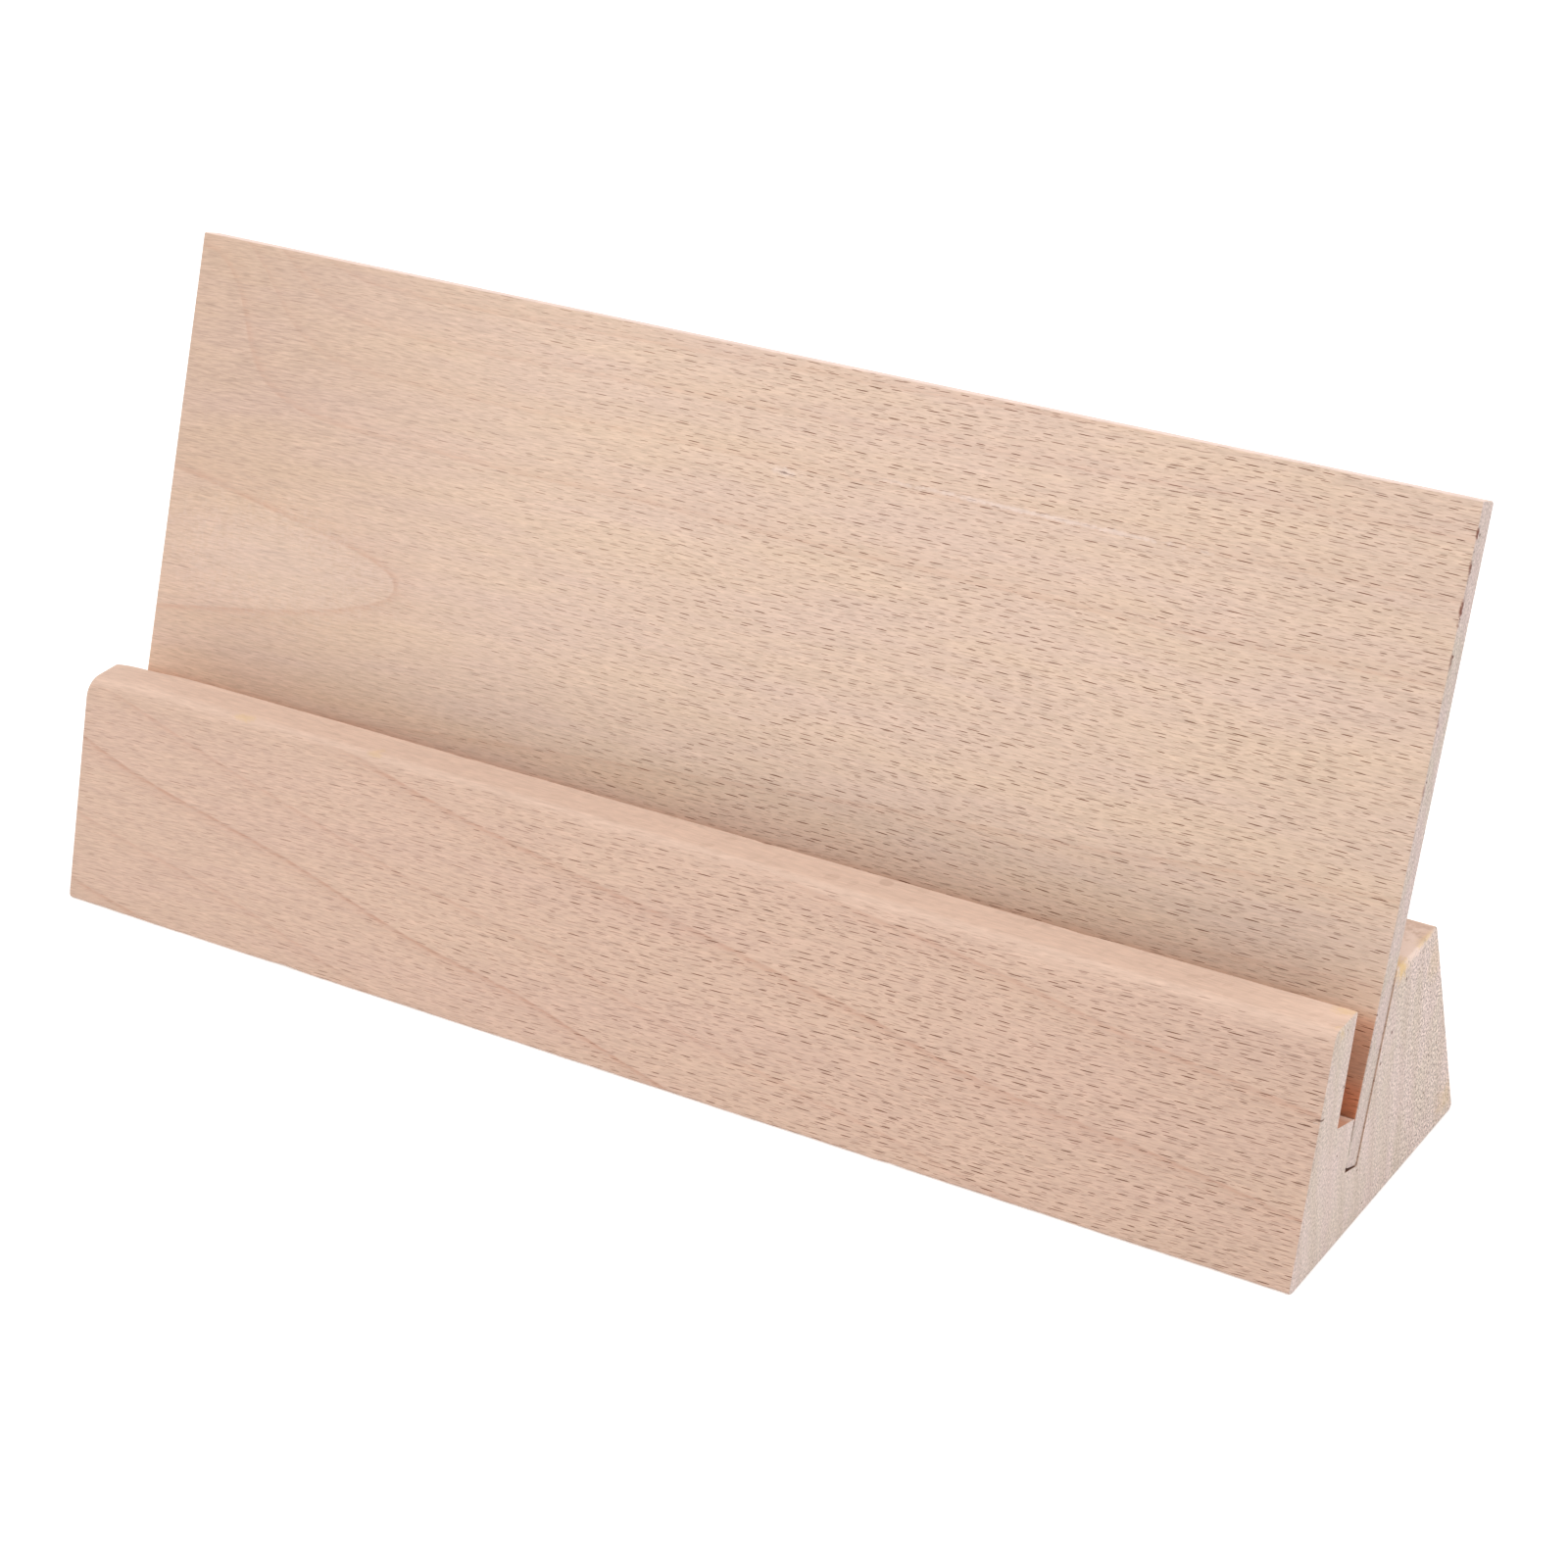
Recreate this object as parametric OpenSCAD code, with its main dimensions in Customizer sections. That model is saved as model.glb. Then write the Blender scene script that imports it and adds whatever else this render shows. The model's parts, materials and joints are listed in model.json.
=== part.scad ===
// Wooden display stand: a solid beech base with a thin board leaning back in a sawn groove.
// Millimetres. +X runs along the stand, +Y to its back, +Z up.
// The origin is at the middle of the base's underside.

/* [Base block] */
// Length of the base
base_length = 300; // [200:1:400]
// Depth of the base at its underside, front to back
base_depth = 75; // [70:1:100]
// Height of the base
base_height = 49.5; // [45:0.5:60]
// Inward lean of the front and back faces, in degrees
face_lean = 17; // [10:0.5:18]
// Radius of the rounded front edge of the lip
lip_edge_radius = 2.5; // [1:0.1:4]

/* [Card slot] */
// Thickness of the front lip at its top
lip_top = 9; // [6:0.1:10]
// Depth of the slot below the top of the base, at the lip
slot_depth = 22.2; // [15:0.1:26]
// Width of the slot's floor between the lip and the groove
slot_floor = 7.8; // [7:0.1:8.5]
// Lean of the saw cuts that form the slot and the groove, in degrees
saw_lean = 16; // [13:0.5:17]

/* [Board groove] */
// Width of the flat top behind the board
rear_top = 18.4; // [12:0.1:22]
// Depth of the groove below the slot's floor, along its front wall
groove_depth = 10.8; // [8:0.1:12]
// Gap that keeps the resting board just clear of the wood that carries it
rest_gap = 0.05; // [0.02:0.01:0.2]

/* [Board] */
// Length of the board
board_length = 299.4; // [200:0.1:400]
// Height of the board, measured along its face
board_height = 127.3; // [90:0.1:160]
// Thickness of the board
board_thickness = 5; // [4:0.1:6]
// Backward lean of the board from upright, in degrees
board_lean = 20.5; // [18:0.5:24]

/* [Hidden] */

beech = "#d8b397";
beech_board = "#dcbb98";

front_y = -base_depth / 2;
rear_y = base_depth / 2;
face_inset = base_height * tan(face_lean);

lip_front_y = front_y + face_inset;
lip_rear_y = lip_front_y + lip_top;
support_top_y = rear_y - face_inset - rear_top;

// Points in the side view are [y, z]. The saw is tilted back, and its cuts have square bottoms
saw_up = [sin(saw_lean), cos(saw_lean)];
saw_across = [cos(saw_lean), -sin(saw_lean)];
slot_foot = [lip_rear_y, base_height] - slot_depth / cos(saw_lean) * saw_up;
groove_mouth = slot_foot + slot_floor * saw_across;
groove_front = groove_mouth - groove_depth * saw_up;

// Y of the sloping support behind the board, at height z
function support_y(z) = support_top_y - (base_height - z) * tan(board_lean);

// The groove's floor runs square to the saw cut until it meets the support
groove_floor = (support_y(groove_front.y) - groove_front.x)
    / (cos(saw_lean) + sin(saw_lean) * tan(board_lean));
groove_rear = groove_front + groove_floor * saw_across;

// The rounded edge starts and ends this far from the corner that it takes off
edge_reach = lip_edge_radius / tan((90 + face_lean) / 2);
edge_centre = [lip_front_y + edge_reach, base_height - lip_edge_radius];
edge_steps = 12;

// Points along an arc, from one angle to another
function arc(centre, radius, from_angle, to_angle, steps) = [
    for (i = [0 : steps])
        let (angle = from_angle + (to_angle - from_angle) * i / steps)
            centre + radius * [cos(angle), sin(angle)]
];

// Side view of the base, drawn with its depth along x and its height along y
module base_profile() {
    lip = concat(
        [[front_y, 0]],
        arc(edge_centre, lip_edge_radius, 180 - face_lean, 90, edge_steps),
        [[lip_rear_y, base_height]]
    );
    slot_and_groove = [slot_foot, groove_mouth, groove_front, groove_rear];
    rear_block = [
        [support_top_y, base_height],
        [rear_y - face_inset, base_height],
        [rear_y, 0]
    ];
    polygon(concat(lip, slot_and_groove, rear_block));
}

// Stands a side view up and runs it along X, centred on the origin
module along_x(length) {
    translate([-length / 2, 0, 0])
        rotate([90, 0, 90])
            linear_extrude(height = length)
                children();
}

// One block of wood with the card slot and the board's groove cut through from end to end
module base_block() {
    color(beech)
        along_x(base_length)
            base_profile();
}

// A flat board that stands on its lower back edge in the groove and leans on the support
module backboard() {
    color(beech_board)
        translate([0, groove_rear.x, groove_rear.y])
            rotate([-board_lean, 0, 0])
                translate([-board_length / 2, -board_thickness - rest_gap, rest_gap])
                    cube([board_length, board_thickness, board_height]);
}

base_block();
backboard();
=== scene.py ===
"""A beech display stand: a solid base with a card slot, and a thin board that leans in its groove.

The outlines come from the CAD frame. This script adds what a joiner's shop leaves on them: eased
and worn edges, small chips and faces sanded by hand. The wood is grown through the whole piece, so
its rings, rays, fibres and end grain agree on every face.
"""

import json
import math

import bmesh
import bpy
from mathutils import Matrix, Vector, noise


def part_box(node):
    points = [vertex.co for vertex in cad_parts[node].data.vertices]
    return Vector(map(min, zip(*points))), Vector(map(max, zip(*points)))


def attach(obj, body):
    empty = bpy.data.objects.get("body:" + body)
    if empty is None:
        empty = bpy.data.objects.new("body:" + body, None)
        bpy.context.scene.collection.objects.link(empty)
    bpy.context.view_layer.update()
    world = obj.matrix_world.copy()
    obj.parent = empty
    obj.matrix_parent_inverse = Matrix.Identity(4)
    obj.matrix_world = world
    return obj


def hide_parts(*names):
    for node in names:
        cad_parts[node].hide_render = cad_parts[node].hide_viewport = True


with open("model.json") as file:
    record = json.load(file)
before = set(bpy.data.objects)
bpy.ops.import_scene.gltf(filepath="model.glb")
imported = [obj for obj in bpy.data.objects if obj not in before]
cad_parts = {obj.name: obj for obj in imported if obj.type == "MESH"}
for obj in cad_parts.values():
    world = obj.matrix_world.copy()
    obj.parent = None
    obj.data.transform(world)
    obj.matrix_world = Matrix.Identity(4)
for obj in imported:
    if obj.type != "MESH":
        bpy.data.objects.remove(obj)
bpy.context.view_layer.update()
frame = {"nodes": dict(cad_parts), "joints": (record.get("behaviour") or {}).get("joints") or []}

MM = 0.001
SAME_PLACE = 0.01 * MM

# The record's slide axis runs up the board, so it also gives the board's lean
BOARD_UP = Vector(frame["joints"][0]["axis"]).normalized()
BOARD_LEAN = math.atan2(BOARD_UP.y, BOARD_UP.z)


# ---------------------------------------------------------------- outlines from the frame

def end_outline(node):
    """The side view of a CAD node as a loop of (y, z) points, read from its end face."""
    mesh = frame["nodes"][node].data
    end_x = max(v.co.x for v in mesh.vertices)

    def place(index):
        co = mesh.vertices[index].co
        return (round(co.y, 6), round(co.z, 6))

    links = {}
    for polygon in mesh.polygons:
        at_end = [i for i in polygon.vertices if abs(mesh.vertices[i].co.x - end_x) < SAME_PLACE]
        if len(at_end) == 2 and place(at_end[0]) != place(at_end[1]):
            first, second = place(at_end[0]), place(at_end[1])
            links.setdefault(first, set()).add(second)
            links.setdefault(second, set()).add(first)

    start = min(links, key=lambda p: (round(p[1], 4), p[0]))
    loop = [start]
    previous, here = None, start
    while True:
        onward = [p for p in links[here] if p != previous]
        if previous is None:
            onward.sort(key=lambda p: p[0])
        previous, here = here, onward[0]
        if here == start:
            return [Vector(p) for p in loop]
        loop.append(here)


def meet(point_a, along_a, point_b, along_b):
    """Where two lines in the side view meet."""
    cross = along_a.x * along_b.y - along_a.y * along_b.x
    gap = point_b - point_a
    return point_a + along_a * ((gap.x * along_b.y - gap.y * along_b.x) / cross)


def sharp_outline(loop, shortest=1.0 * MM):
    """The outline with each rounded corner's short steps put back to the one corner they came from."""
    count = len(loop)
    sides = [(loop[i], loop[(i + 1) % count] - loop[i]) for i in range(count)]
    long_sides = [(p, d) for p, d in sides if d.length > shortest]
    corners = []
    for i, (point, along) in enumerate(long_sides):
        before_point, before_along = long_sides[i - 1]
        corners.append(meet(before_point, before_along, point, along))
    return corners


def turned_in(corners, depths):
    """The outline with each side moved into the wood by its own depth, for the eased edge round an end."""
    count = len(corners)
    area = sum(corners[i].x * corners[(i + 1) % count].y - corners[(i + 1) % count].x * corners[i].y
               for i in range(count))
    side = 1 if area > 0 else -1
    moved = []
    for i in range(count):
        along = (corners[(i + 1) % count] - corners[i]).normalized()
        inward = Vector((-along.y, along.x)) * side
        moved.append((corners[i] + inward * depths[i], along))
    return [meet(*moved[i - 1], *moved[i]) for i in range(count)]


# ---------------------------------------------------------------- meshes

ARC_STEPS = 8
SIDE_SPACING = 3.0 * MM
STATION_SPACING = 2.0 * MM
SMALLEST_RADIUS = 0.06 * MM
# How far apart the waves left by sanding are, along the piece and round it
SANDING_WAVES = (0.035, 0.012, 0.012)


def rounded_loop(corners, radii, side_steps):
    """Points round the outline: an arc at each corner and evenly spaced points between the arcs."""
    count = len(corners)
    arcs = []
    for i, corner in enumerate(corners):
        to_before = (corners[i - 1] - corner).normalized()
        to_after = (corners[(i + 1) % count] - corner).normalized()
        half = to_before.angle(to_after) / 2
        reach = radii[i] / math.tan(half)
        bisector = (to_before + to_after).normalized()
        centre = corner + bisector * (radii[i] / math.sin(half))
        start = corner + to_before * reach - centre
        end = corner + to_after * reach - centre
        turn = start.angle_signed(end)
        arcs.append([centre + Matrix.Rotation(-turn * k / ARC_STEPS, 2) @ start
                     for k in range(ARC_STEPS + 1)])
    points = []
    for i in range(count):
        points += arcs[i]
        start, end = arcs[i][-1], arcs[(i + 1) % count][0]
        points += [start.lerp(end, k / side_steps[i]) for k in range(1, side_steps[i])]
    return points


def wobble(x, seed, length):
    """A smooth random value from about -1 to 1 that changes along the piece."""
    return noise.noise(Vector((x / length, seed * 7.31, seed * 1.7)))


def near(x, centre, width):
    """A bump of height 1 at centre that dies away over width."""
    return math.exp(-((x - centre) / width) ** 2)


def stations(low, high, ease):
    """Places along X as (x, share of the end's easing left there): closer together near both ends."""
    ease_steps, first_step, step_growth = 5, 0.25 * MM, 1.25
    places = []
    for k in range(ease_steps):
        angle = math.pi / 2 * k / ease_steps
        places.append((ease * (1 - math.cos(angle)), 1 - math.sin(angle)))
    reach, step = ease, first_step
    while step < STATION_SPACING:
        places.append((reach, 0.0))
        reach += step
        step *= step_growth
    left = [(low + x, share) for x, share in places]
    right = [(high - x, share) for x, share in reversed(places)]
    count = round((high - low - 2 * reach) / STATION_SPACING)
    middle = [(low + reach + (high - low - 2 * reach) * k / count, 0.0) for k in range(count + 1)]
    return left + middle + right


def milled_piece(name, node, shape_at, radius_at, ease_of, ease, sanding):
    """A mesh that follows a CAD node's outline along X, with rounded corners whose radii vary.

    shape_at(corners, x) may reshape the outline, radius_at(corner, x) gives a corner's radius and
    ease_of(side, x) says how far a side's edge round the end is eased. ease is how far in from the
    end that starts, and sanding how deep the waves in the faces are. All are in metres.
    """
    corners = sharp_outline(end_outline(node))
    count = len(corners)
    low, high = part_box(node)
    side_steps = [max(1, round((corners[(i + 1) % count] - corners[i]).length / SIDE_SPACING))
                  for i in range(count)]
    rings = []
    for x, share in stations(low.x, high.x, ease):
        shape = turned_in(shape_at(corners, x), [share * ease_of(i, x) for i in range(count)])
        radii = [max(SMALLEST_RADIUS, radius_at(i, x)) for i in range(count)]
        rings.append([(x, p.x, p.y) for p in rounded_loop(shape, radii, side_steps)])

    points = [p for ring in rings for p in ring]
    around = len(rings[0])
    faces = []
    for r in range(len(rings) - 1):
        for k in range(around):
            nxt = (k + 1) % around
            faces.append((r * around + k, r * around + nxt,
                          (r + 1) * around + nxt, (r + 1) * around + k))
    faces.append(tuple(reversed(range(around))))
    faces.append(tuple(range(len(points) - around, len(points))))

    mesh = bpy.data.meshes.new(name)
    mesh.from_pydata(points, [], faces)
    mesh.update()
    obj = bpy.data.objects.new(name, mesh)
    bpy.context.scene.collection.objects.link(obj)
    face_outwards(mesh)
    sand_by_hand(mesh, sanding)
    for polygon in mesh.polygons:
        polygon.use_smooth = len(polygon.vertices) == 4
    smooth = obj.modifiers.new("even_shading", "WEIGHTED_NORMAL")
    smooth.keep_sharp = True
    smooth.weight = 80
    return obj


def face_outwards(mesh):
    """Makes every face look outwards."""
    work = bmesh.new()
    work.from_mesh(mesh)
    bmesh.ops.recalc_face_normals(work, faces=work.faces)
    work.to_mesh(mesh)
    work.free()


def sand_by_hand(mesh, depth):
    """Moves the long faces inwards by up to depth, unevenly, as sanding does. The ends stay flat."""
    normals = [v.normal.copy() for v in mesh.vertices]
    for vertex, normal in zip(mesh.vertices, normals):
        if abs(normal.x) > 0.5:
            continue
        place = Vector([value / wave for value, wave in zip(vertex.co, SANDING_WAVES)])
        amount = 0.5 + 0.5 * noise.noise(place)
        vertex.co -= normal * depth * amount
    mesh.update()


# ---------------------------------------------------------------- how the edges are worn

LEFT_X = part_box("base_block")[0].x
MIDDLE_X = 0.0

# How far the edges round the ends are eased. The edges of the groove and of the slot's floor stay
# crisp, and the front's upright edge at the right end is sanded rounder than the others
BASE_EASE = 0.45 * MM
FRONT_RIGHT_EASE = 0.95 * MM
BOARD_EASE = 0.4 * MM
CRISP_EASE = 0.02 * MM
# How deep the waves are that sanding leaves in the faces
BASE_SANDING = 0.015 * MM
BOARD_SANDING = 0.01 * MM

# Corners of the base in the order that the outline has them, with their usual radius in mm
BASE_CORNERS = [
    ("front_bottom", 0.8), ("lip_front", 2.4), ("lip_rear", 0.35), ("slot_foot", 0.15),
    ("groove_mouth", 0.15), ("groove_front", 0.12), ("groove_rear", 0.12),
    ("support_top", 0.35), ("rear_top", 0.7), ("rear_bottom", 0.8),
]
# Chips and dents on the base: corner, distance from the left end, width and extra radius, in mm
BASE_CHIPS = [
    ("lip_rear", 12, 6.0, 0.5), ("lip_rear", 96, 1.6, 0.25), ("lip_rear", 171, 1.2, 0.3),
    ("lip_rear", 243, 2.2, 0.25), ("lip_front", 297, 2.5, 0.6), ("rear_top", 288, 1.6, 0.35),
    ("rear_top", 143, 2.4, 0.3), ("front_bottom", 214, 1.8, 0.3), ("front_bottom", 61, 2.6, 0.3),
    ("rear_bottom", 120, 2.0, 0.3), ("support_top", 293, 1.8, 0.3),
]
# Sides of the base whose edges stay crisp, named by the corner that each starts from
CRISP_SIDES = ("slot_foot", "groove_mouth", "groove_front", "groove_rear")
# The lip's left end was sanded down: how far it drops, over what length, and its end's radius, in mm
LIP_END_DROP = 1.4
LIP_END_REACH = 7.0
LIP_END_RADIUS = 1.4
# The lip's front edge is rounder there too: its radius, and over what length it dies away, in mm
LIP_LEFT_RADIUS = 4.4
LIP_LEFT_REACH = 26.0

# The board's usual corner radius in mm
BOARD_RADIUS = 0.45
BOARD_FOOT_SIDE, BOARD_REAR_SIDE = 0, 3
# How far the board's back comes towards the support, within the gap that the CAD leaves there
BOARD_PRESSED = 0.04 * MM
# Chips on the board: corner index, distance from the left end, width and extra radius, in mm
BOARD_CHIPS = [
    (1, 0, 3.0, 0.7), (1, 300, 2.0, 0.35), (2, 220, 1.4, 0.3), (1, 118, 1.2, 0.25),
    (2, 74, 2.0, 0.25), (1, 187, 0.9, 0.2),
]


def from_left_mm(x):
    return (x - LEFT_X) / MM


def base_shape(corners, x):
    """The base's outline with the lip's top lowered near the left end."""
    along = from_left_mm(x)
    drop = LIP_END_DROP * math.exp(-along / LIP_END_REACH)
    if along < LIP_END_RADIUS:
        drop += LIP_END_RADIUS - math.sqrt(LIP_END_RADIUS ** 2 - (LIP_END_RADIUS - along) ** 2)
    front_bottom, lip_front, lip_rear, slot_foot = corners[:4]
    top = Vector((0.0, lip_front.y - drop * MM))
    level = Vector((1.0, 0.0))
    return [front_bottom, meet(front_bottom, lip_front - front_bottom, top, level),
            meet(slot_foot, lip_rear - slot_foot, top, level)] + corners[3:]


def worn_radius(usual, along, waves, corner, chips):
    """A corner's radius in mm at a place along the piece: uneven, and larger where a chip is missing.

    waves holds the share, the seed and the length in mm of each unevenness.
    """
    radius = usual * (1 + sum(share * wobble(along, seed, length) for share, seed, length in waves))
    return radius + sum(extra * near(along, place, width)
                        for chip_corner, place, width, extra in chips if chip_corner == corner)


def base_radius(corner, x):
    name, usual = BASE_CORNERS[corner]
    along = from_left_mm(x)
    radius = worn_radius(usual, along, ((0.22, corner, 17), (0.12, corner + 40, 3.1)), name, BASE_CHIPS)
    if name == "lip_front":
        radius += (LIP_LEFT_RADIUS - usual) * math.exp(-along / LIP_LEFT_REACH)
    return radius * MM


def base_ease(side, x):
    name = BASE_CORNERS[side][0]
    if name == "front_bottom" and x > MIDDLE_X:
        return FRONT_RIGHT_EASE
    return CRISP_EASE if name in CRISP_SIDES else BASE_EASE


def board_shape(corners, x):
    """The board's outline, a little closer to the support than the CAD leaves it."""
    return turned_in(corners, [-BOARD_PRESSED if side == BOARD_REAR_SIDE else 0.0
                               for side in range(len(corners))])


def board_radius(corner, x):
    waves = ((0.25, corner + 9, 21), (0.15, corner + 70, 2.7))
    return worn_radius(BOARD_RADIUS, from_left_mm(x), waves, corner, BOARD_CHIPS) * MM


def board_ease(side, x):
    return CRISP_EASE if side in (BOARD_FOOT_SIDE, BOARD_REAR_SIDE) else BOARD_EASE


# ---------------------------------------------------------------- node graphs

class Graph:
    """Short calls for building a material's nodes."""

    def __init__(self, name):
        self.material = bpy.data.materials.new(name)
        self.material.use_nodes = True
        self.tree = self.material.node_tree
        self.tree.nodes.clear()

    def node(self, kind, inputs=(), **settings):
        made = self.tree.nodes.new(kind)
        for key, value in settings.items():
            setattr(made, key, value)
        for key, value in dict(inputs).items():
            self.feed(made.inputs[key], value)
        return made

    def feed(self, socket, value):
        if isinstance(value, bpy.types.NodeSocket):
            self.tree.links.new(value, socket)
        else:
            socket.default_value = value

    def math(self, operation, *values, clamp=False):
        made = self.tree.nodes.new("ShaderNodeMath")
        made.operation = operation
        made.use_clamp = clamp
        for socket, value in zip(made.inputs, values):
            self.feed(socket, value)
        return made.outputs[0]

    def plus(self, first, second):
        return self.math("ADD", first, second)

    def minus(self, first, second):
        return self.math("SUBTRACT", first, second)

    def times(self, first, second, clamp=False):
        return self.math("MULTIPLY", first, second, clamp=clamp)

    def times_plus(self, value, factor, extra, clamp=False):
        """value times factor, plus extra."""
        return self.math("MULTIPLY_ADD", value, factor, extra, clamp=clamp)

    def vector(self, operation, *values):
        made = self.tree.nodes.new("ShaderNodeVectorMath")
        made.operation = operation
        for socket, value in zip(made.inputs, values):
            self.feed(socket, value)
        return made.outputs["Value" if operation == "LENGTH" else "Vector"]

    def split(self, vector):
        made = self.node("ShaderNodeSeparateXYZ", {"Vector": vector})
        return made.outputs["X"], made.outputs["Y"], made.outputs["Z"]

    def join(self, x, y, z):
        return self.node("ShaderNodeCombineXYZ", {"X": x, "Y": y, "Z": z}).outputs["Vector"]

    def step(self, value, low, high, to_low=0.0, to_high=1.0):
        """A smooth step from to_low to to_high as value goes from low to high."""
        made = self.node("ShaderNodeMapRange", {
            "Value": value, "From Min": low, "From Max": high,
            "To Min": to_low, "To Max": to_high}, interpolation_type="SMOOTHSTEP")
        return made.outputs["Result"]

    def noise(self, vector, detail, roughness):
        """Noise from about -1 to 1 that is centred on 0."""
        made = self.node("ShaderNodeTexNoise", {
            "Vector": vector, "Scale": 1.0, "Detail": detail, "Roughness": roughness},
            noise_dimensions="3D")
        return self.times_plus(made.outputs["Fac"], 2.0, -1.0)

    def chance(self, value):
        """A random number from 0 to 1 that belongs to this value."""
        return self.node("ShaderNodeTexWhiteNoise", {"W": value}, noise_dimensions="1D").outputs["Value"]

    def mix(self, factor, first, second):
        made = self.node("ShaderNodeMix", {0: factor}, data_type="RGBA", blend_type="MIX")
        self.feed(made.inputs[6], first)
        self.feed(made.inputs[7], second)
        return made.outputs[2]

    def brighten(self, colour, amount):
        """The colour times amount, where 1 leaves it as it is."""
        if not isinstance(colour, bpy.types.NodeSocket):
            colour = colour[:3]
        return self.vector("MULTIPLY", colour, self.join(amount, amount, amount))

    def scaled(self, vector, x, y, z):
        return self.vector("MULTIPLY", vector, (x, y, z))

    def output(self, shader):
        made = self.node("ShaderNodeOutputMaterial")
        self.tree.links.new(shader.outputs["BSDF"], made.inputs["Surface"])


def srgb(red, green, blue):
    """A colour given as 0 to 255 screen values, as the linear colour that shaders use."""
    def linear(value):
        share = value / 255
        return share / 12.92 if share <= 0.04045 else ((share + 0.055) / 1.055) ** 2.4
    return (linear(red), linear(green), linear(blue), 1.0)


# ---------------------------------------------------------------- beech: rays and rings

# What share of red, green and blue the darkest rays leave of the wood round them
RAY_SHADE = (0.26, 0.14, 0.09)
# What share of the places in a row holds a ray, and how many places the rows are shifted at most
RAY_KEEP = 0.75
RAY_ROW_SHIFT = 9.0
# The smallest and the faintest ray as a share of the largest and the darkest, and how far rays tilt
RAY_SMALLEST = 0.4
RAY_FAINTEST = 0.4
RAY_TILT = 0.03
# Rays in three sizes: how far apart they stand along and across the grain, and the largest one's
# length and width, all in mm, with what is added to the piece's seed
BOLD_RAYS = ((5.0, 1.02), (4.0, 0.21), 0.0)
MIDDLE_RAYS = ((4.0, 0.86), (3.0, 0.18), 11.3)
FINE_RAYS = ((2.8, 0.6), (2.2, 0.15), 23.7)
MIDDLE_RAYS_SHOW = 0.6
FINE_RAYS_SHOW = 0.38


def ray_layer(g, along, across, cell, largest, seed):
    """Rays seen end-on: thin pointed dashes that follow the grain, in staggered rows.

    cell is how far apart they stand along and across the grain, and largest is the largest dash's
    length and width, all in mm.
    """
    cell_length, cell_width = cell
    length, width = largest
    rows = g.times_plus(across, 1 / cell_width, seed)
    row = g.math("FLOOR", rows)
    places = g.plus(g.times(along, 1 / cell_length), g.times(g.chance(g.plus(row, seed)), RAY_ROW_SHIFT))
    column = g.math("FLOOR", places)
    chances = g.node("ShaderNodeTexWhiteNoise", {"Vector": g.join(column, row, seed)}, noise_dimensions="3D")
    chance, size_chance, aside = g.split(chances.outputs["Color"])
    # Two more chances come from the last digits of the ones above
    shade = g.math("FRACT", g.times(size_chance, 23.7))
    ahead = g.math("FRACT", g.times(aside, 31.3))

    off_along = g.times(g.minus(g.math("FRACT", places), 0.5), cell_length)
    off_along = g.plus(off_along, g.times(g.minus(ahead, 0.5), cell_length - length))
    off_across = g.times(g.minus(g.math("FRACT", rows), 0.5), cell_width)
    off_across = g.plus(off_across, g.times(g.minus(aside, 0.5), cell_width - 1.6 * width))
    off_across = g.plus(off_across, g.times(off_along, g.times_plus(shade, 2 * RAY_TILT, -RAY_TILT)))

    size = g.times_plus(size_chance, 1 - RAY_SMALLEST, RAY_SMALLEST)
    long_part = g.math("DIVIDE", g.times(off_along, 2 / length), size)
    wide_part = g.math("DIVIDE", g.times(off_across, 2 / width), g.times_plus(size, 0.5, 0.5))
    reach = g.plus(g.math("POWER", g.math("ABSOLUTE", long_part), 2.5), g.times(wide_part, wide_part))
    darkness = g.times_plus(g.times(shade, shade), 1 - RAY_FAINTEST, RAY_FAINTEST)
    dash = g.times(g.step(reach, 0.4, 1.1, 1.0, 0.0), g.math("LESS_THAN", chance, RAY_KEEP))
    return g.times(dash, darkness)


# Both ring functions below take the same places, though the first uses only some of them.
# Where the base's rings end, in mm back from the front's foot at the left end
BASE_RING_EDGES = (
    1.9, 6.5, 11.3, 15.0, 20.6, 26.7, 33.2, 39.4, 46.3, 52.4, 59.2, 65.3, 71.6, 78.5, 84.6, 91.2,
)


def straight_rings(g, along, depth, inward, height):
    """Rings almost parallel to the base's back: the ring number, and how wide a ring shows, in mm."""
    curve_reach, curve_rings = 100, 20
    shown_width = 18.0
    slanted = g.times(along, g.times_plus(along, -0.000082, 0.079))
    curve = g.node("ShaderNodeFloatCurve", {"Value": g.times(g.plus(inward, slanted), 1 / curve_reach)})
    points = curve.mapping.curves[0].points
    points[0].location = (0.0, 0.6 / curve_rings)
    points[1].location = (1.0, (len(BASE_RING_EDGES) + 2) / curve_rings)
    for number, edge in enumerate(BASE_RING_EDGES):
        points.new(edge / curve_reach, (number + 1) / curve_rings)
    for point in points:
        point.handle_type = "VECTOR"
    curve.mapping.update()
    return g.times(curve.outputs["Value"], float(curve_rings)), shown_width


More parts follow.
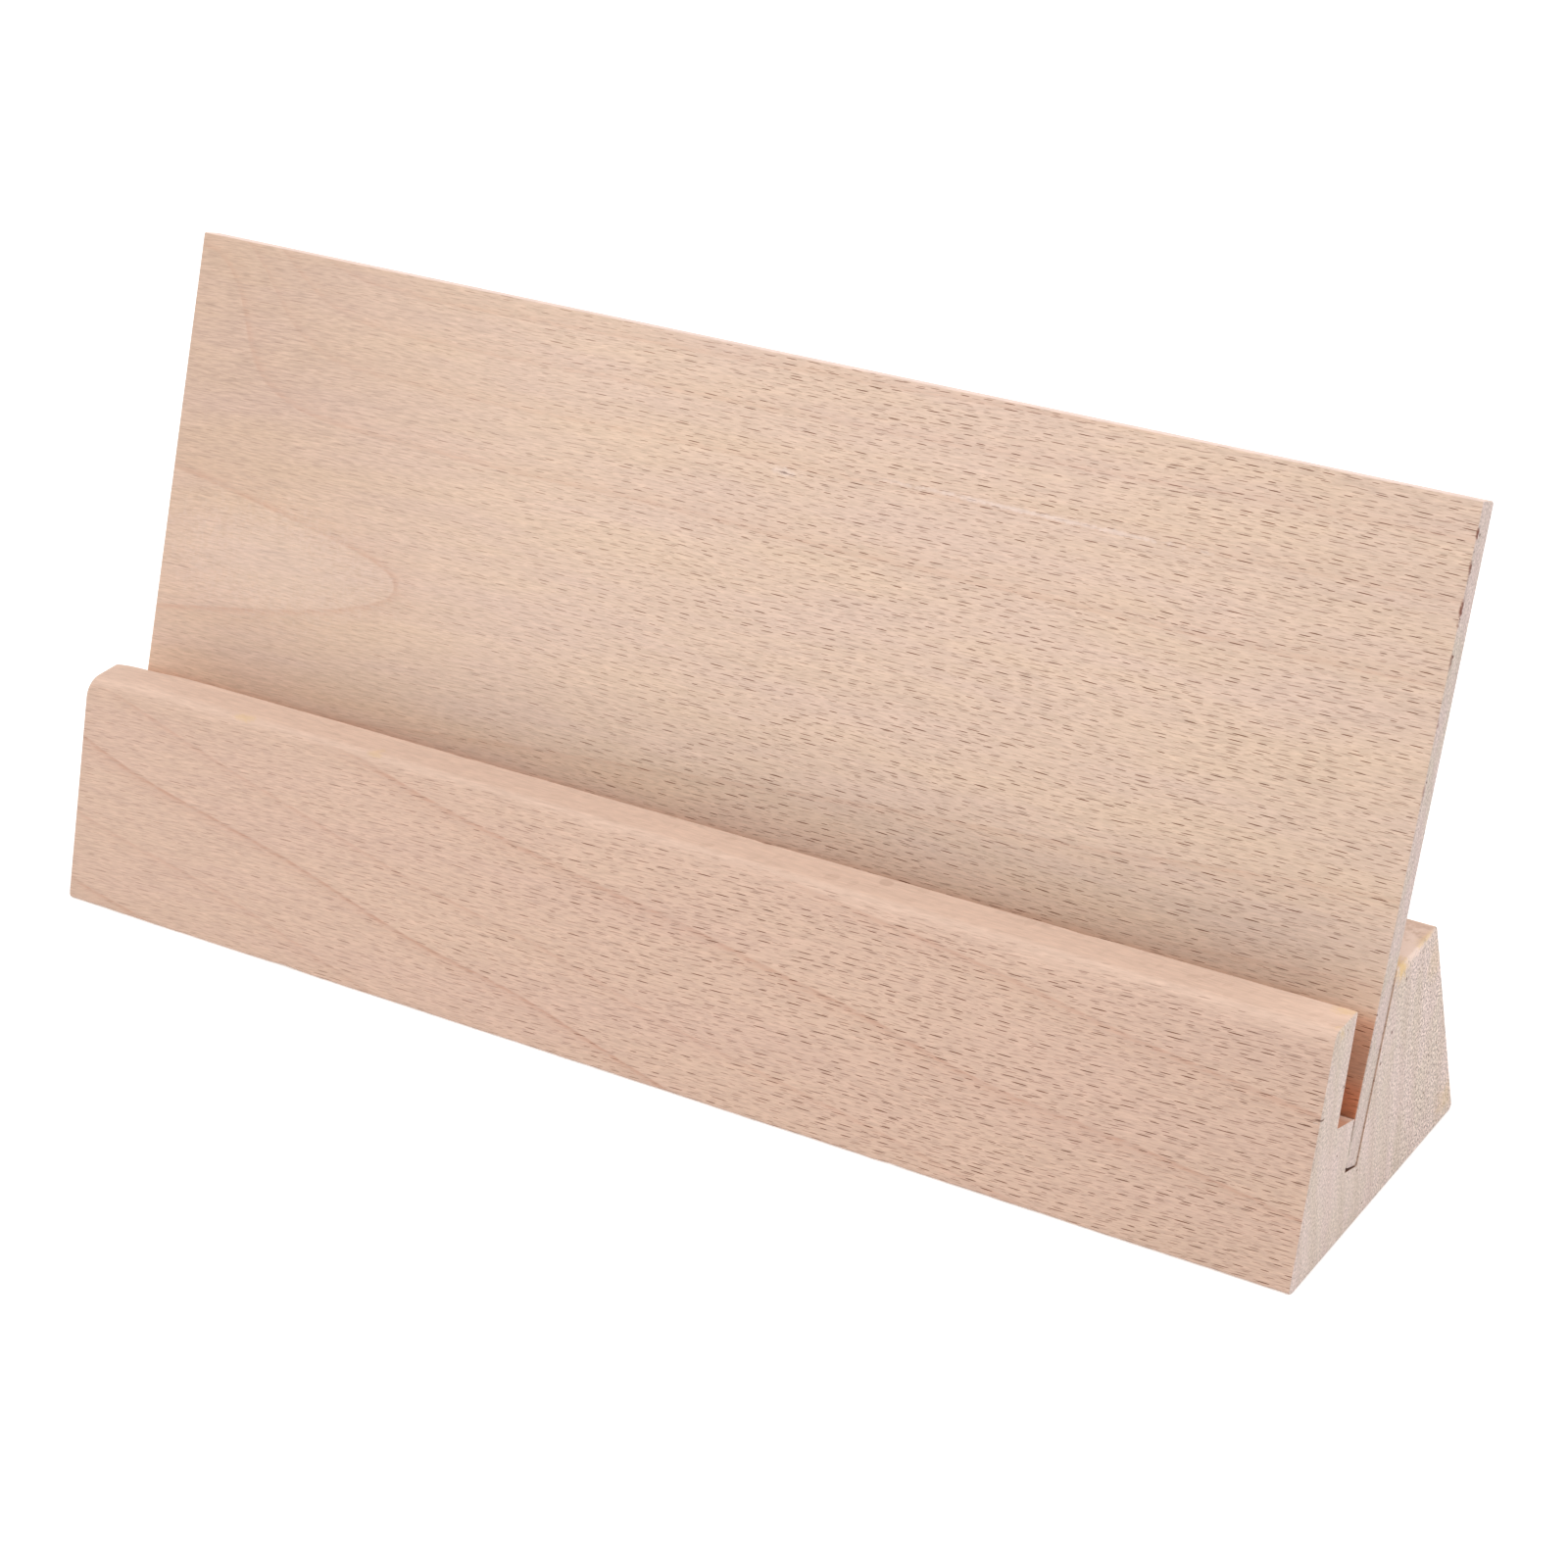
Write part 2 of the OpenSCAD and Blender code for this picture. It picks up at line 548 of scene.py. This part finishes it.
def arched_rings(g, along, depth, inward, height):
    """Rings cut nearly flat, so they show as nested arches: the ring number, and how wide one shows."""
    ring_width, outer_radius = 2.95, 150.0
    pith_away, pith_height = 149.30, 58.8
    knot_height, knot_reach, knot_pull = 127.0, 26, 10.0
    pith_away = g.plus(g.times(along, g.times_plus(along, -0.000014, 0.01216)), pith_away)
    pith_away = g.plus(pith_away, g.times_plus(depth, 0.72, g.times(inward, 0.06)))
    aside = g.minus(height, g.times_plus(along, 0.045, pith_height))
    radius = g.math("SQRT", g.plus(g.times(pith_away, pith_away), g.times(aside, aside)))
    # A knot just outside the upper left corner pulls the rings towards it
    from_knot = g.vector("LENGTH", g.join(along, g.minus(height, knot_height), 0.0))
    pull = g.math("EXPONENT", g.times(g.times(from_knot, from_knot), -1 / knot_reach ** 2))
    radius = g.minus(radius, g.times(pull, knot_pull))
    steepness = g.plus(g.times(g.math("ABSOLUTE", aside), 1 / outer_radius), 0.014)
    number = g.times(g.minus(outer_radius, radius), 1 / ring_width)
    return number, g.math("DIVIDE", ring_width, steepness)


# ---------------------------------------------------------------- beech: the material

# How strongly the rings show on the ends
END_RINGS = 0.3
# What multiplies the wood's red, green and blue inside the saw cuts: painted shade and painted light,
# not the wood's own colour. The groove is painted nearly black as shade, since hardly any light
# reaches it. The slot gets painted shade, redder as if light bounced between its walls, a warmer
# painted bounce near the slot's floor, and painted light that lightens the board just above the slot
PAINTED_SHADE_AND_LIGHT = {
    "slot": (0.86, 0.61, 0.50), "groove": (0.22, 0.14, 0.11), "glow": (1.08, 1.05, 1.0),
    "painted_warm_bounce": (1.25, 0.88, 0.70),
}


class Beech(Graph):
    """Solid beech, as grown: one set of rings, rays and fibres through the whole piece."""

    def __init__(self, name, turn, origin, tint):
        """turn and origin take object coordinates to the piece's own, in mm: along it from the left
        end, back from its front, and up from its foot."""
        super().__init__(name)
        self.tint = tint
        place = self.node("ShaderNodeTexCoord")
        self.millimetres = self.scaled(place.outputs["Object"], 1000.0, 1000.0, 1000.0)
        self.piece = self.node("ShaderNodeMapping", {
            "Vector": self.millimetres, "Location": origin, "Rotation": turn},
            vector_type="POINT").outputs["Vector"]
        facing = self.node("ShaderNodeMapping", {"Vector": place.outputs["Normal"], "Rotation": turn},
                           vector_type="VECTOR").outputs["Vector"]
        self.along, self.depth, self.height = self.split(self.piece)
        facing_along, _, facing_up = self.split(facing)
        self.end_grain = self.step(self.math("ABSOLUTE", facing_along), 0.35, 0.7)
        self.side_grain = self.minus(1.0, self.end_grain)
        self.facing_rings = self.times(self.step(self.math("ABSOLUTE", facing_up), 0.45, 0.85),
                                       self.side_grain)

    def lay_grain(self, grain):
        """The grain climbs a little, most of all near the left end, and wanders by about a millimetre."""
        left_reach = 40
        bow = self.math("EXPONENT", self.times(self.along, -1 / left_reach))
        wander = self.node("ShaderNodeTexNoise", {
            "Vector": self.scaled(self.piece, 1 / 70, 1 / 60, 1 / 30), "Scale": 1.0, "Detail": 0.5})
        self.wander, wander_back, _ = self.split(wander.outputs["Color"])
        across = self.minus(self.height, self.times(self.along, grain["climb"]))
        across = self.plus(across, self.times(bow, grain["left_bow"]))
        self.across = self.plus(across, self.times_plus(self.wander, 3.0, -1.5))
        self.inward = self.plus(self.depth, self.times_plus(wander_back, 2.4, -1.2))
        self.wood = self.join(self.along, self.inward, self.across)

    def wood_noise(self, sizes, offset, detail, roughness):
        """Noise whose grains have these sizes along, into and across the grain, in mm."""
        place = self.scaled(self.wood, *[1 / size for size in sizes])
        if offset:
            place = self.vector("ADD", place, offset)
        return self.noise(place, detail, roughness)

    def lay_fibres(self):
        """Broad pink and straw patches, long bands, short streaks and single fibres."""
        self.patch = self.wood_noise((75, 30, 11), None, 2.0, 0.55)
        self.mottle = self.wood_noise((24, 8, 2.8), None, 1.0, 0.6)
        self.band = self.wood_noise((190, 9, 6), (5.0, 1.0, 2.0), 2.0, 0.6)
        self.streak = self.wood_noise((10, 1.2, 0.75), (1.0, 4.0, 7.0), 2.0, 0.65)
        self.fibre = self.wood_noise((3.4, 0.42, 0.3), (3.0, 2.0, 9.0), 1.0, 0.6)

    def grow_rings(self, ring_field, grain):
        """How far late wood shows: as a line with a soft shade on faces, and as a band on end grain."""
        bent_height = self.plus(self.height, self.times_plus(self.wander, 2.0, -1.0))
        rings, ring_width = ring_field(self, self.along, self.depth, self.inward, bent_height)
        late = self.math("FRACT", rings)
        strength = self.chance(self.plus(self.math("FLOOR", rings), grain["ring_seed"]))

        from_edge = self.times(self.minus(1.0, late), ring_width)
        edge = self.step(from_edge, 0.0, 0.5)
        line = self.step(from_edge, 0.4, 1.6, 1.0, 0.0)
        shade = self.step(from_edge, 0.4, 5.5, 1.0, 0.0)
        drawn = self.times(self.times_plus(shade, 0.3, self.times(line, 0.7)), edge)
        drawn = self.times(drawn, self.times_plus(strength, 0.6, 0.4))
        broken = self.step(self.plus(self.streak, self.fibre), -0.45, 0.35, 0.25, 1.3)
        self.late_line = self.times(drawn, broken)

        band = self.times(self.step(late, 0.15, 0.8), self.step(late, 0.8, 1.0, 1.0, 0.15))
        self.late_band = self.times(band, self.times_plus(strength, 0.5, 0.5))

    def quarter_sawn(self, grain):
        """Faces that look up or down are quarter-sawn, and so is a ragged strip along the top edge."""
        ragged_height = self.plus(self.times_plus(self.streak, 1.8, self.height), self.times(self.band, 2.5))
        strip = self.step(ragged_height, grain["top_edge"] - 4.0, grain["top_edge"], 0.0, 0.85)
        return self.math("MAXIMUM", self.facing_rings, self.times(strip, self.side_grain))

    def face_colour(self, quarter_sawn, grain):
        """The wood's colour on its long faces, without rays."""
        left_reach, right_from, right_end = 115.0, 225.0, 300.0
        tint = self.tint
        pinkness = self.step(self.plus(self.patch, self.times(self.mottle, 0.3)), -0.5, 0.5)
        light = self.times_plus(self.band, grain["bands"], 1.0)
        light = self.times_plus(self.streak, 0.08, light)
        light = self.times_plus(self.fibre, 0.24, light)
        left_shade = self.times(self.step(self.along, 0.0, left_reach, grain["left_shade"], 0.0),
                                self.step(self.height, *grain["shade_height"]))
        light = self.minus(light, left_shade)
        light = self.minus(light, self.step(self.along, right_from, right_end, 0.0, grain["right_shade"]))
        colour = self.brighten(self.mix(pinkness, tint["straw"], tint["pink"]), light)
        colour = self.mix(self.times(self.late_line, grain["face_rings"]), colour, tint["late"])
        colour = self.mix(self.step(self.along, 0.0, left_reach, 1.0, 0.0), colour,
                          self.vector("MULTIPLY", colour, grain["left_tone"]))
        quarter_light = self.times_plus(self.fibre, 0.16, self.times_plus(self.band, 0.06, 1.0))
        quarter_light = self.times_plus(self.streak, 0.14, quarter_light)
        return self.mix(quarter_sawn, colour, self.brighten(tint["quarter"], quarter_light))

    def ray_amount(self, quarter_sawn, rays):
        """How far rays darken the wood: clearest towards the right, hardly at all where quarter-sawn."""
        fan = self.times_plus(self.inward, 0.08, self.across)
        bold, middle, fine = [
            ray_layer(self, self.along, fan, cell, largest, rays["seed"] + extra_seed)
            for cell, largest, extra_seed in (BOLD_RAYS, MIDDLE_RAYS, FINE_RAYS)]
        smaller = self.math("MAXIMUM", self.times(middle, MIDDLE_RAYS_SHOW), self.times(fine, FINE_RAYS_SHOW))
        dash = self.math("MAXIMUM", bold, smaller)
        shows = self.times(self.side_grain, self.times_plus(quarter_sawn, -0.85, 1.0))
        clear = self.step(self.along, rays["soft_until"], rays["clear_from"],
                          rays["soft_share"], rays["clear_share"])
        clump = self.step(self.band, -0.5, 0.5, 0.85, 1.0)
        return self.times(self.times(dash, shows), self.times(clear, clump), clamp=True)

    def end_pores(self):
        """The fine grain of sawn-off fibres."""
        return self.wood_noise((60, 0.5, 0.6), (2.0, 6.0, 5.0), 1.0, 0.8)

    def end_pits(self):
        """A few small dark pits."""
        spacing, largest, share = 4.5, 0.075, 0.38
        place = self.join(self.times(self.depth, 1 / spacing), self.times(self.height, 1 / spacing), 0.0)
        cells = self.node("ShaderNodeTexVoronoi", {"Vector": place, "Scale": 1.0},
                          voronoi_dimensions="2D", feature="F1")
        chance, size, _ = self.split(cells.outputs["Color"])
        return self.times(self.math("LESS_THAN", cells.outputs["Distance"], self.times(size, largest)),
                          self.math("LESS_THAN", chance, share))

    def end_colour(self, pores, grain):
        """The wood's colour on its ends: ring bands, patches, fine lines, pores and pits."""
        tint = self.tint
        lines = self.wood_noise((60, 2.4, 12), (8.0, 3.0, 1.0), 2.0, 0.6)
        patches = self.wood_noise((60, 6, 14), (4.0, 9.0, 3.0), 2.0, 0.6)
        light = self.times(pores, self.step(self.depth, 28.0, 62.0, 0.65, 1.45))
        light = self.times_plus(lines, 0.08, self.plus(light, 0.985))
        colour = self.mix(self.step(patches, -0.35, 0.35), tint["end_straw"], tint["end_pink"])
        colour = self.mix(self.times(self.late_band, END_RINGS), self.brighten(colour, light),
                          tint["end_late"])
        return self.mix(self.times(self.end_pits(), 0.75), colour, tint["ray"])

    def shade_inside(self, colour, regions):
        """Paints shade, and some light, into the colour of the faces inside the saw cuts.

        Each region has how far it slants back for each mm up, its low and high corners as (back,
        up) in mm, how soft its border is, and which tint multiplies the colour there.
        """
        for slant, low_corner, high_corner, fade, kind in regions:
            inside = 1.0
            set_back = self.times_plus(self.height, -slant, self.depth)
            for value, low, high in zip((set_back, self.height), low_corner, high_corner):
                inside = self.times(inside, self.step(value, low - fade, low + fade))
                inside = self.times(inside, self.step(value, high - fade, high + fade, 1.0, 0.0))
            inside = self.times(inside, self.side_grain)
            # The tint is painted shade, or painted light just above the slot, in place of the light that
            # falls there
            colour = self.mix(inside, colour, self.vector("MULTIPLY", colour, PAINTED_SHADE_AND_LIGHT[kind]))
        return colour

    def add_marks(self, colour, marks):
        """Stains, nicks and pale spots, each with a ragged border."""
        ragged = self.noise(self.scaled(self.millimetres, 0.7, 0.7, 0.7), 2.0, 0.7)
        for centre, half_sizes, kind, strength in marks:
            away = self.vector("SUBTRACT", self.piece, centre)
            away = self.vector("LENGTH", self.vector("MULTIPLY", away, [1 / size for size in half_sizes]))
            spot = self.step(self.times_plus(ragged, 0.9, away), 0.15, 1.0, strength, 0.0)
            colour = self.mix(spot, colour, self.tint[kind])
        return colour

    def finish(self, colour, rays, pores):
        """The surface: rays lie a little below it, and sawn end grain is rougher."""
        relief = self.times_plus(self.fibre, 0.010, self.times(self.times(pores, self.end_grain), 0.03))
        relief = self.times_plus(rays, -0.03, relief)
        bump = self.node("ShaderNodeBump", {"Height": relief, "Strength": 1.0, "Distance": MM})
        roughness = self.times_plus(self.end_grain, 0.22, 0.60)
        roughness = self.times_plus(rays, 0.12, roughness, clamp=True)
        shader = self.node("ShaderNodeBsdfPrincipled", {
            "Base Color": colour, "Roughness": roughness, "Normal": bump.outputs["Normal"]})
        shader.inputs["IOR"].default_value = 1.45
        shader.inputs["Specular IOR Level"].default_value = 0.3
        self.output(shader)


def beech(name, turn, origin, look):
    """A beech material. look holds what differs between the pieces: see BASE_LOOK and BOARD_LOOK."""
    g = Beech(name, turn, origin, look["tint"])
    grain = look["grain"]
    g.lay_grain(grain)
    g.lay_fibres()
    g.grow_rings(look["rings"], grain)
    quarter_sawn = g.quarter_sawn(grain)
    rays = g.ray_amount(quarter_sawn, look["rays"])
    pores = g.end_pores()
    colour = g.face_colour(quarter_sawn, grain)
    colour = g.mix(rays, colour, g.vector("MULTIPLY", colour, RAY_SHADE))
    colour = g.mix(g.end_grain, colour, g.end_colour(pores, grain))
    colour = g.shade_inside(colour, look["inside"])
    colour = g.add_marks(colour, look["marks"])
    g.finish(colour, rays, pores)
    return g.material


# ---------------------------------------------------------------- how each piece looks

# How far back the base's two saw cuts lean for each millimetre up
SAW_SLANT = math.tan(math.radians(16.0))

# grain: climb is how steeply the fibres climb to the right, and left_bow how much more they climb at
# the left end, in mm. top_edge is the height in mm above which the wood is quarter-sawn, and
# shade_height where the left end's darkening sets in. The rest says how strongly bands and rings show,
# and how much darker the faces grow, and how their tone changes, towards both ends.
# rays: they show with soft_share of their strength up to soft_until, in mm from the left end, and
# with clear_share from clear_from on.
# inside: painted shade in the saw cuts, and painted light just above the slot; see Beech.shade_inside.
# marks: centre and half sizes in mm (along, back, up), which tint, and how strongly it shows.
BASE_LOOK = {
    "tint": {
        "straw": srgb(195, 166, 147), "pink": srgb(194, 164, 147), "late": srgb(166, 120, 98),
        "quarter": srgb(202, 173, 155), "end_straw": srgb(193, 177, 165), "end_pink": srgb(199, 180, 173),
        "end_late": srgb(172, 152, 138), "ray": srgb(78, 42, 24), "ochre": srgb(206, 172, 112),
        "pale": srgb(224, 208, 196), "painted_light_peach": srgb(222, 198, 184),
    },
    "rings": straight_rings,
    "grain": {
        "climb": 0.043, "left_bow": 1.2, "ring_seed": 2149.0, "bands": 0.03, "face_rings": 0.48,
        "top_edge": 49.3, "left_tone": (1.0, 1.0, 1.0), "left_shade": 0.03, "right_shade": 0.06,
        "shade_height": (-2.0, -1.0),
    },
    "rays": {
        "seed": 4.0, "soft_until": 0.0, "clear_from": 235.0, "soft_share": 0.45, "clear_share": 1.38,
    },
    # Painted shade on the walls of the groove and the slot
    "inside": [
        (SAW_SLANT, (17.7, 12.0), (23.6, 25.6), 0.35, "groove"),
        (SAW_SLANT, (9.6, 25.6), (22.0, 47.6), 0.6, "slot"),
    ],
    "marks": [
        # Painted light: a bright patch on the rear top near the right end, where the board above shades it
        ((296.0, 48.0, 49.6), (18.0, 13.0, 3.0), "painted_light_peach", 1.0),
        ((299.4, 43.6, 48.3), (4.2, 3.2, 3.6), "ochre", 0.75),
        ((299.9, 54.0, 49.5), (1.6, 4.2, 1.2), "ochre", 0.45),
        ((298.0, 22.8, 49.4), (3.6, 2.0, 1.6), "ochre", 0.35),
        ((299.4, 17.0, 48.0), (2.8, 1.8, 1.8), "ochre", 0.35),
        ((300.0, 60.0, 42.0), (2.0, 5.0, 6.0), "ochre", 0.16),
        ((300.0, 70.0, 5.0), (2.0, 5.5, 5.0), "ochre", 0.25),
        ((44.0, 16.0, 49.0), (3.6, 3.0, 0.8), "ochre", 0.35),
        ((79.0, 16.0, 49.2), (2.4, 3.0, 0.7), "ochre", 0.25),
        ((299.6, 10.2, 33.1), (1.5, 1.0, 0.32), "ray", 0.8),
        # A pale spot beside the nick: lighter chipped wood, and a painted highlight on its edge
        ((299.0, 9.8, 32.5), (1.1, 1.0, 0.22), "pale", 0.3),
    ],
}
BOARD_LOOK = {
    "tint": {
        "straw": srgb(204, 178, 157), "pink": srgb(202, 176, 160), "late": srgb(176, 134, 112),
        "quarter": srgb(216, 192, 180), "end_straw": srgb(188, 174, 162), "end_pink": srgb(194, 175, 169),
        "end_late": srgb(168, 150, 140), "ray": srgb(78, 44, 26), "pale": srgb(226, 210, 204),
        "dark": srgb(110, 60, 44),
    },
    "rings": arched_rings,
    "grain": {
        "climb": 0.018, "left_bow": 1.5, "ring_seed": 2872.0, "bands": 0.05, "face_rings": 0.33,
        "top_edge": 1000.0, "left_tone": (0.985, 0.945, 0.925), "left_shade": 0.13, "right_shade": 0.05,
        "shade_height": (30.0, 95.0),
    },
    "rays": {
        "seed": 31.0, "soft_until": 30.0, "clear_from": 185.0, "soft_share": 0.33, "clear_share": 1.2,
    },
    # Painted shade on the board's foot and below the lip, painted bounce light near the slot's floor, and
    # painted light just above the slot
    "inside": [
        (0.0, (-1.0, -1.0), (3.0, 9.6), 0.5, "groove"),
        (0.0, (-4.0, -4.0), (4.0, 29.6), 2.4, "slot"),
        (0.0, (-4.0, 28.0), (4.0, 37.0), 3.5, "glow"),
        (0.0, (-4.0, 8.0), (4.0, 16.0), 3.0, "painted_warm_bounce"),
    ],
    "marks": [
        ((154.5, 0.0, 104.3), (4.0, 2.0, 1.3), "pale", 0.3),
        ((154.0, 0.0, 104.2), (1.5, 2.0, 0.35), "ray", 0.5),
        ((212.0, 0.0, 107.2), (40.0, 1.5, 0.7), "pale", 0.38),
        ((30.0, 0.0, 60.0), (38.0, 3.0, 16.0), "pale", 0.12),
        ((299.4, 0.0, 121.5), (0.55, 0.6, 1.8), "dark", 0.9),
        ((299.4, 0.0, 115.0), (0.5, 0.6, 2.6), "dark", 0.8),
        ((299.4, 0.0, 107.0), (0.6, 0.6, 3.2), "dark", 0.9),
        ((299.4, 0.0, 97.5), (0.45, 0.6, 2.2), "dark", 0.75),
        ((299.4, 0.0, 86.0), (0.4, 0.5, 1.6), "dark", 0.6),
        ((299.4, 0.0, 73.0), (0.4, 0.5, 2.0), "dark", 0.5),
    ],
}


# ---------------------------------------------------------------- the two pieces

def piece_origin(node, lean):
    """Where object coordinates must shift, once turned, so a piece counts from its left front foot, in mm."""
    corners = sharp_outline(end_outline(node))
    turned = [Matrix.Rotation(lean, 2) @ corner for corner in corners]
    low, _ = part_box(node)
    return (-low.x / MM, -min(p.x for p in turned) / MM, -min(p.y for p in turned) / MM)


base = milled_piece("base_block_wood", "base_block", base_shape, base_radius, base_ease, BASE_EASE,
                    BASE_SANDING)
base_origin = piece_origin("base_block", 0.0)
base.data.materials.append(beech("beech_block", (0.0, 0.0, 0.0), base_origin, BASE_LOOK))
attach(base, "base")
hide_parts("base_block")

board = milled_piece("backboard_wood", "backboard", board_shape, board_radius, board_ease, BOARD_EASE,
                     BOARD_SANDING)
board_origin = piece_origin("backboard", BOARD_LEAN)
board.data.materials.append(beech("beech_board", (BOARD_LEAN, 0.0, 0.0), board_origin, BOARD_LOOK))
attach(board, "board")
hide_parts("backboard")


# ---------------------------------------------------------------- floor, light and camera

# What the lamps are aimed at, near the middle of the stand
AIM = Vector((0.0, 0.0, 0.05))


def studio_floor():
    """A plain white floor at the height that the base stands on. It glows a little, as a lit sweep does."""
    half, glow = 6.0, 0.15
    mesh = bpy.data.meshes.new("floor")
    corners = [(-half, -half, 0), (half, -half, 0), (half, half, 0), (-half, half, 0)]
    mesh.from_pydata(corners, [], [(0, 1, 2, 3)])
    obj = bpy.data.objects.new("floor", mesh)
    bpy.context.scene.collection.objects.link(obj)
    g = Graph("floor_white")
    shader = g.node("ShaderNodeBsdfPrincipled", {"Base Color": (0.93, 0.93, 0.93, 1.0), "Roughness": 0.9})
    shader.inputs["Emission Color"].default_value = (1.0, 1.0, 1.0, 1.0)
    shader.inputs["Emission Strength"].default_value = glow
    g.output(shader)
    mesh.materials.append(g.material)


def studio_world(strength):
    """Even white light from all round."""
    world = bpy.data.worlds.new("studio")
    world.use_nodes = True
    background = world.node_tree.nodes["Background"]
    background.inputs["Color"].default_value = (1.0, 1.0, 1.0, 1.0)
    background.inputs["Strength"].default_value = strength
    bpy.context.scene.world = world


def soft_box(name, place, size, power):
    """A large square lamp that looks at the stand. size is in metres and power in watts."""
    lamp = bpy.data.lights.new(name, "AREA")
    lamp.shape = "SQUARE"
    lamp.size = size
    lamp.energy = power
    obj = bpy.data.objects.new(name, lamp)
    obj.location = place
    obj.rotation_euler = (AIM - Vector(place)).to_track_quat("-Z", "Y").to_euler()
    bpy.context.scene.collection.objects.link(obj)


def camera(place, azimuth, elevation, roll, lens, shift_y):
    """A camera that looks azimuth degrees round from +Y and elevation degrees down. lens is in mm."""
    turn, down = math.radians(azimuth), math.radians(elevation)
    look = Vector((-math.sin(turn) * math.cos(down), math.cos(turn) * math.cos(down), -math.sin(down)))
    data = bpy.data.cameras.new("camera")
    data.sensor_width = 36
    data.lens = lens
    data.shift_y = shift_y
    data.clip_start = 0.01
    obj = bpy.data.objects.new("camera", data)
    obj.matrix_world = (Matrix.Translation(place) @ look.to_track_quat("-Z", "Y").to_matrix().to_4x4()
                        @ Matrix.Rotation(math.radians(roll), 4, "Z"))
    bpy.context.scene.collection.objects.link(obj)
    bpy.context.scene.camera = obj


studio_floor()
studio_world(strength=0.80)
soft_box("key", (-0.5, -1.2, 1.7), size=1.4, power=16.5)
soft_box("overhead", (0.3, -0.2, 2.0), size=1.5, power=8.6)
soft_box("back", (0.8, 1.2, 1.2), size=1.2, power=11.4)
camera((0.3780, -0.5585, 0.4084), azimuth=32.95, elevation=30.23, roll=-1.53, lens=85.4, shift_y=0.0942)
bpy.context.scene.view_settings.view_transform = "Standard"
